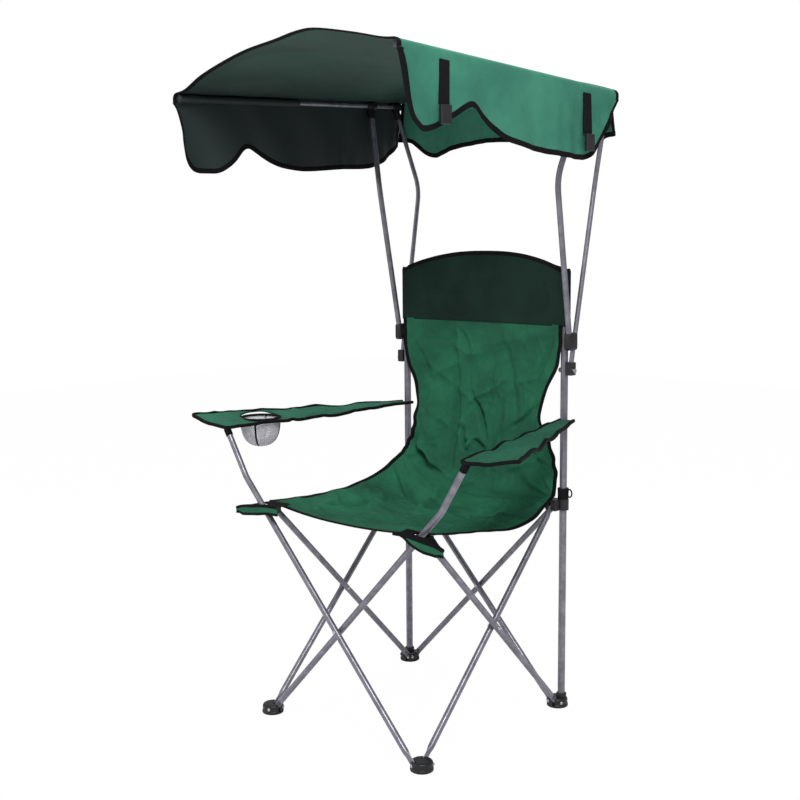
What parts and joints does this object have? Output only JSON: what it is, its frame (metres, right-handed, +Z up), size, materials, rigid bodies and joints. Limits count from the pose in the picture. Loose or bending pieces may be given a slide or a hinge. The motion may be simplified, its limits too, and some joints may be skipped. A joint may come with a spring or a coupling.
{
  "type": "folding outdoor chair",
  "caption": "Quad-fold camp chair with crossed steel tubes, sling seat, cloth armrests with a net cup holder, and a tilting cloth canopy.",
  "frame": {"origin": "on the ground, in the middle of the plan of the whole chair, which is under the middle of the roof", "axes": "+Z up, the sitter looks along -Y, +X is the sitter's left"},
  "size_m": [0.9274, 0.687, 1.4046],
  "materials": {
    "coated_steel": "grey powder coat, satin, slightly metallic",
    "zinc_steel": "bright zinc plate",
    "black_plastic": "moulded, satin",
    "black_webbing": "woven, matt",
    "green_cloth": "woven polyester, matt",
    "dark_green_cloth": "woven polyester, matt",
    "canopy_cloth": "thin woven polyester, matt",
    "grey_net": "knitted net"
  },
  "bodies": {
    "left_post": {"foot_back_left": "black_plastic", "back_post_left": "coated_steel", "post_cap_left": "black_plastic", "pivot_bolt_left": "zinc_steel", "armrest_left": "green_cloth", "back_cloth": "green_cloth", "head_band": "dark_green_cloth"},
    "back_tube_inner": {"back_tube_inner": "coated_steel", "crossing_rivet_back": "zinc_steel"},
    "back_tube_outer": {"back_tube_outer": "coated_steel"},
    "right_post": {"foot_back_right": "black_plastic", "back_post_right": "coated_steel", "post_cap_right": "black_plastic", "pivot_bolt_right": "zinc_steel", "armrest_right": "green_cloth", "cup_rim": "black_webbing", "cup_net": "grey_net"},
    "right_tube_inner": {"right_tube_inner": "coated_steel", "crossing_rivet_right": "zinc_steel"},
    "right_tube_outer": {"right_tube_outer": "coated_steel"},
    "foot_front_right": {"foot_front_right": "black_plastic"},
    "seat_hub_right": {"seat_hub_right": "black_plastic"},
    "left_tube_outer": {"left_tube_outer": "coated_steel", "crossing_rivet_left": "zinc_steel"},
    "left_tube_inner": {"left_tube_inner": "coated_steel"},
    "foot_front_left": {"foot_front_left": "black_plastic"},
    "arm_tube_right": {"arm_tube_right": "coated_steel", "crossing_rivet_front": "zinc_steel"},
    "arm_tube_left": {"arm_tube_left": "coated_steel"},
    "seat_hub_left": {"seat_hub_left": "black_plastic"},
    "slider_left": {"slider_left": "black_plastic"},
    "slider_right": {"slider_right": "black_plastic"},
    "seat_front": {"seat_cloth_front": "green_cloth"},
    "seat_rear": {"seat_cloth_rear": "green_cloth"},
    "canopy_left": {"pivot_block_left": "black_plastic", "upright_rear_left": "coated_steel", "upright_front_left": "coated_steel", "canopy_bracket_left": "black_plastic", "rail_tee_front_left": "black_plastic", "rail_tee_rear_left": "black_plastic", "canopy_rail_left": "coated_steel", "canopy_roof": "canopy_cloth", "canopy_rear_flap": "canopy_cloth", "canopy_strap_front": "black_webbing", "canopy_strap_rear": "black_webbing", "strap_buckle_front": "black_plastic", "strap_buckle_rear": "black_plastic"},
    "canopy_right": {"pivot_block_right": "black_plastic", "upright_rear_right": "coated_steel", "upright_front_right": "coated_steel", "canopy_bracket_right": "black_plastic", "rail_tee_front_right": "black_plastic", "rail_tee_rear_right": "black_plastic", "canopy_rail_right": "coated_steel"}
  },
  "joints": [
    {"name": "left_back_pivot", "type": "hinge", "parent": "left_post", "child": "back_tube_inner", "pos_m": [0.2115, 0.246, 0.0115], "axis": [0, 1, 0], "range_deg": [0, 33], "deforming": ["seat_cloth_front", "seat_cloth_rear", "back_cloth", "head_band", "armrest_left", "armrest_right", "cup_rim", "cup_net", "canopy_roof", "canopy_rear_flap"]},
    {"name": "back_crossing", "type": "hinge", "parent": "back_tube_inner", "child": "back_tube_outer", "pos_m": [0, 0.26, 0.23325], "axis": [0, 1, 0], "range_deg": [-66, 0]},
    {"name": "right_back_pivot", "type": "hinge", "parent": "back_tube_outer", "child": "right_post", "pos_m": [-0.2115, 0.26, 0.0115], "axis": [0, 1, 0], "range_deg": [0, 33]},
    {"name": "right_side_pivot", "type": "hinge", "parent": "right_post", "child": "right_tube_inner", "pos_m": [-0.2135, 0.244, 0.0115], "axis": [-1, 0, 0], "range_deg": [0, 33]},
    {"name": "right_crossing", "type": "hinge", "parent": "right_tube_inner", "child": "right_tube_outer", "pos_m": [-0.2275, 0.0325, 0.23325], "axis": [-1, 0, 0], "range_deg": [-66, 0]},
    {"name": "front_right_foot_pivot", "type": "hinge", "parent": "right_tube_outer", "child": "foot_front_right", "pos_m": [-0.2275, -0.179, 0.0115], "axis": [-1, 0, 0], "range_deg": [0, 33]},
    {"name": "right_hub_pivot", "type": "hinge", "parent": "right_tube_inner", "child": "seat_hub_right", "pos_m": [-0.2135, -0.179, 0.455], "axis": [-1, 0, 0], "range_deg": [-33, 0]},
    {"name": "left_side_pivot", "type": "hinge", "parent": "left_post", "child": "left_tube_outer", "pos_m": [0.2275, 0.244, 0.0115], "axis": [-1, 0, 0], "range_deg": [0, 33]},
    {"name": "left_crossing", "type": "hinge", "parent": "left_tube_outer", "child": "left_tube_inner", "pos_m": [0.2135, 0.0325, 0.23325], "axis": [-1, 0, 0], "range_deg": [-66, 0]},
    {"name": "front_left_foot_pivot", "type": "hinge", "parent": "left_tube_inner", "child": "foot_front_left", "pos_m": [0.2135, -0.179, 0.0115], "axis": [-1, 0, 0], "range_deg": [0, 33]},
    {"name": "front_pivot", "type": "hinge", "parent": "foot_front_left", "child": "arm_tube_right", "pos_m": [0.2115, -0.2075, 0.0115], "axis": [0, 1, 0], "range_deg": [0, 33]},
    {"name": "front_crossing", "type": "hinge", "parent": "arm_tube_right", "child": "arm_tube_left", "pos_m": [0, -0.1935, 0.23325], "axis": [0, 1, 0], "range_deg": [-66, 0]},
    {"name": "left_hub_pivot", "type": "hinge", "parent": "left_tube_outer", "child": "seat_hub_left", "pos_m": [0.2275, -0.179, 0.455], "axis": [-1, 0, 0], "range_deg": [-33, 0]},
    {"name": "left_slider_pivot", "type": "hinge", "parent": "back_tube_outer", "child": "slider_left", "pos_m": [0.2115, 0.26, 0.455], "axis": [0, 1, 0], "range_deg": [0, 33]},
    {"name": "right_slider_pivot", "type": "hinge", "parent": "back_tube_inner", "child": "slider_right", "pos_m": [-0.2115, 0.246, 0.455], "axis": [0, 1, 0], "range_deg": [-33, 0]},
    {"name": "seat_front_hang", "type": "hinge", "parent": "seat_hub_left", "child": "seat_front", "pos_m": [0, -0.184, 0.4701], "axis": [-1, 0, 0], "range_deg": [0, 69.96]},
    {"name": "seat_rear_hang", "type": "hinge", "parent": "slider_left", "child": "seat_rear", "pos_m": [0, 0.239, 0.4741], "axis": [1, 0, 0], "range_deg": [0, 69.96]},
    {"name": "canopy_tilt_left", "type": "hinge", "parent": "left_post", "child": "canopy_left", "pos_m": [0.2448, 0.261, 0.748], "axis": [-1, 0, 0], "range_deg": [0, 160]},
    {"name": "canopy_tilt_right", "type": "hinge", "parent": "right_post", "child": "canopy_right", "pos_m": [-0.2448, 0.261, 0.748], "axis": [-1, 0, 0], "range_deg": [0, 160]}
  ],
  "couplings": [
    {"joint": "back_crossing", "follows": "left_back_pivot", "ratio": -2},
    {"joint": "right_back_pivot", "follows": "left_back_pivot", "ratio": 1},
    {"joint": "right_side_pivot", "follows": "left_back_pivot", "ratio": 1},
    {"joint": "right_crossing", "follows": "left_back_pivot", "ratio": -2},
    {"joint": "front_right_foot_pivot", "follows": "left_back_pivot", "ratio": 1},
    {"joint": "right_hub_pivot", "follows": "left_back_pivot", "ratio": -1},
    {"joint": "left_side_pivot", "follows": "left_back_pivot", "ratio": 1},
    {"joint": "left_crossing", "follows": "left_back_pivot", "ratio": -2},
    {"joint": "front_left_foot_pivot", "follows": "left_back_pivot", "ratio": 1},
    {"joint": "front_pivot", "follows": "left_back_pivot", "ratio": 1},
    {"joint": "front_crossing", "follows": "left_back_pivot", "ratio": -2},
    {"joint": "left_hub_pivot", "follows": "left_back_pivot", "ratio": -1},
    {"joint": "left_slider_pivot", "follows": "left_back_pivot", "ratio": 1},
    {"joint": "right_slider_pivot", "follows": "left_back_pivot", "ratio": -1},
    {"joint": "seat_front_hang", "follows": "left_back_pivot", "ratio": 2.12},
    {"joint": "seat_rear_hang", "follows": "left_back_pivot", "ratio": 2.12},
    {"joint": "canopy_tilt_right", "follows": "canopy_tilt_left", "ratio": 1}
  ]
}
